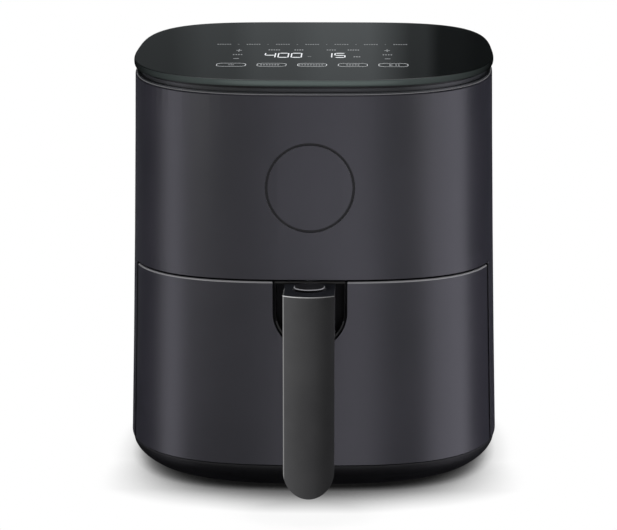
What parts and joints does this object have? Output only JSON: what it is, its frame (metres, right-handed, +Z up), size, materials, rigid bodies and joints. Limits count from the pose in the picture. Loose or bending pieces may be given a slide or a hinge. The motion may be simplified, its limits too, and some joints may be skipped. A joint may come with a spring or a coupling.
{
  "type": "air fryer",
  "caption": "Drawer air fryer with a tilted glass control top, a hot-air chamber, a non-stick pan with a lift-out crisper plate, and a latched handle.",
  "frame": {"origin": "on the floor, at the middle of the footprint that includes the handle", "axes": "+Z up, +Y towards the rear, so the drawer opens towards -Y; +X to the right of someone who faces the rear from the front"},
  "size_m": [0.285, 0.3542, 0.3199],
  "materials": {
    "satin_body": "satin, dark grey with a fine metallic grain",
    "black_plastic": "matt black moulding",
    "panel_glass": "black printed glass, glossy",
    "grip_plastic": "satin dark grey",
    "nonstick": "non-stick coating, satin",
    "steel": "plain bright steel",
    "sheet_steel": "galvanised sheet",
    "heater_tube": "heat-darkened steel",
    "stator_steel": "stacked laminations",
    "copper": "enamelled copper wire",
    "board": "green circuit board",
    "parts_blue": "component cases",
    "rubber": "matt rubber",
    "silicone": "soft silicone",
    "ceramic": "glazed ceramic"
  },
  "bodies": {
    "housing": {"outer_shell": "satin_body", "badge_ring": "black_plastic", "base_tray": "black_plastic", "feet": "rubber", "base_screws": "steel", "bay_floor": "black_plastic", "bay_liner": "sheet_steel", "bay_bezel": "black_plastic", "upper_deck": "sheet_steel", "heat_chamber": "sheet_steel", "heater_coil": "heater_tube", "heater_bushings": "ceramic", "heater_guard": "steel", "temperature_probe": "steel", "thermal_cutout": "ceramic", "exhaust_duct": "sheet_steel", "rear_vent": "black_plastic", "vent_screws": "steel", "motor_bracket": "sheet_steel", "motor_stator": "stator_steel", "motor_winding": "copper", "motor_cap": "sheet_steel", "motor_screws": "steel", "power_board": "board", "board_parts": "parts_blue", "board_bracket": "sheet_steel", "door_switch": "black_plastic", "cord_gland": "rubber", "trim_ring": "black_plastic", "panel_carrier": "black_plastic", "control_board": "board", "display_module": "black_plastic", "control_panel": "panel_glass"},
    "fan": {"motor_rotor": "steel", "fan_shaft": "steel", "convection_fan": "steel", "cooling_fan": "black_plastic", "fan_nut": "steel"},
    "plunger": {"switch_plunger": "black_plastic"},
    "drawer": {"drawer_front": "satin_body", "drawer_frame": "black_plastic", "handle_pocket": "black_plastic", "handle_grip": "grip_plastic", "handle_back": "grip_plastic", "handle_core": "steel", "handle_screws": "steel", "latch_pin": "steel", "latch_spring": "steel", "pan": "nonstick"},
    "button": {"release_button": "black_plastic"},
    "latch": {"latch_lever": "steel"},
    "crisper": {"crisper_plate": "nonstick", "plate_bumpers": "silicone"}
  },
  "joints": [
    {"name": "drawer_slide", "type": "slide", "parent": "housing", "child": "drawer", "axis": [0, -1, 0], "range_m": [0, 0.24]},
    {"name": "crisper_lift", "type": "slide", "parent": "drawer", "child": "crisper", "axis": [0, 0, 1], "range_m": [0, 0.1]},
    {"name": "button_press", "type": "slide", "parent": "drawer", "child": "button", "axis": [0, 0, -1], "range_m": [0, 0.003], "stiffness_N_per_m": 600, "springref_m": -0.002},
    {"name": "latch_turn", "type": "hinge", "parent": "drawer", "child": "latch", "pos_m": [0, -0.16785, 0.141], "axis": [-1, 0, 0], "range_deg": [0, 7.9], "deforming": ["latch_spring"]},
    {"name": "fan_spin", "type": "hinge", "parent": "housing", "child": "fan", "pos_m": [0, -0.00635, 0.23], "axis": [0, 0, 1], "continuous": true},
    {"name": "plunger_travel", "type": "slide", "parent": "housing", "child": "plunger", "axis": [0, 0, 1], "range_m": [0, 0.001], "stiffness_N_per_m": 300, "springref_m": -0.001}
  ],
  "couplings": [
    {"joint": "latch_turn", "follows": "button_press", "rad_per_m": 45.455}
  ]
}
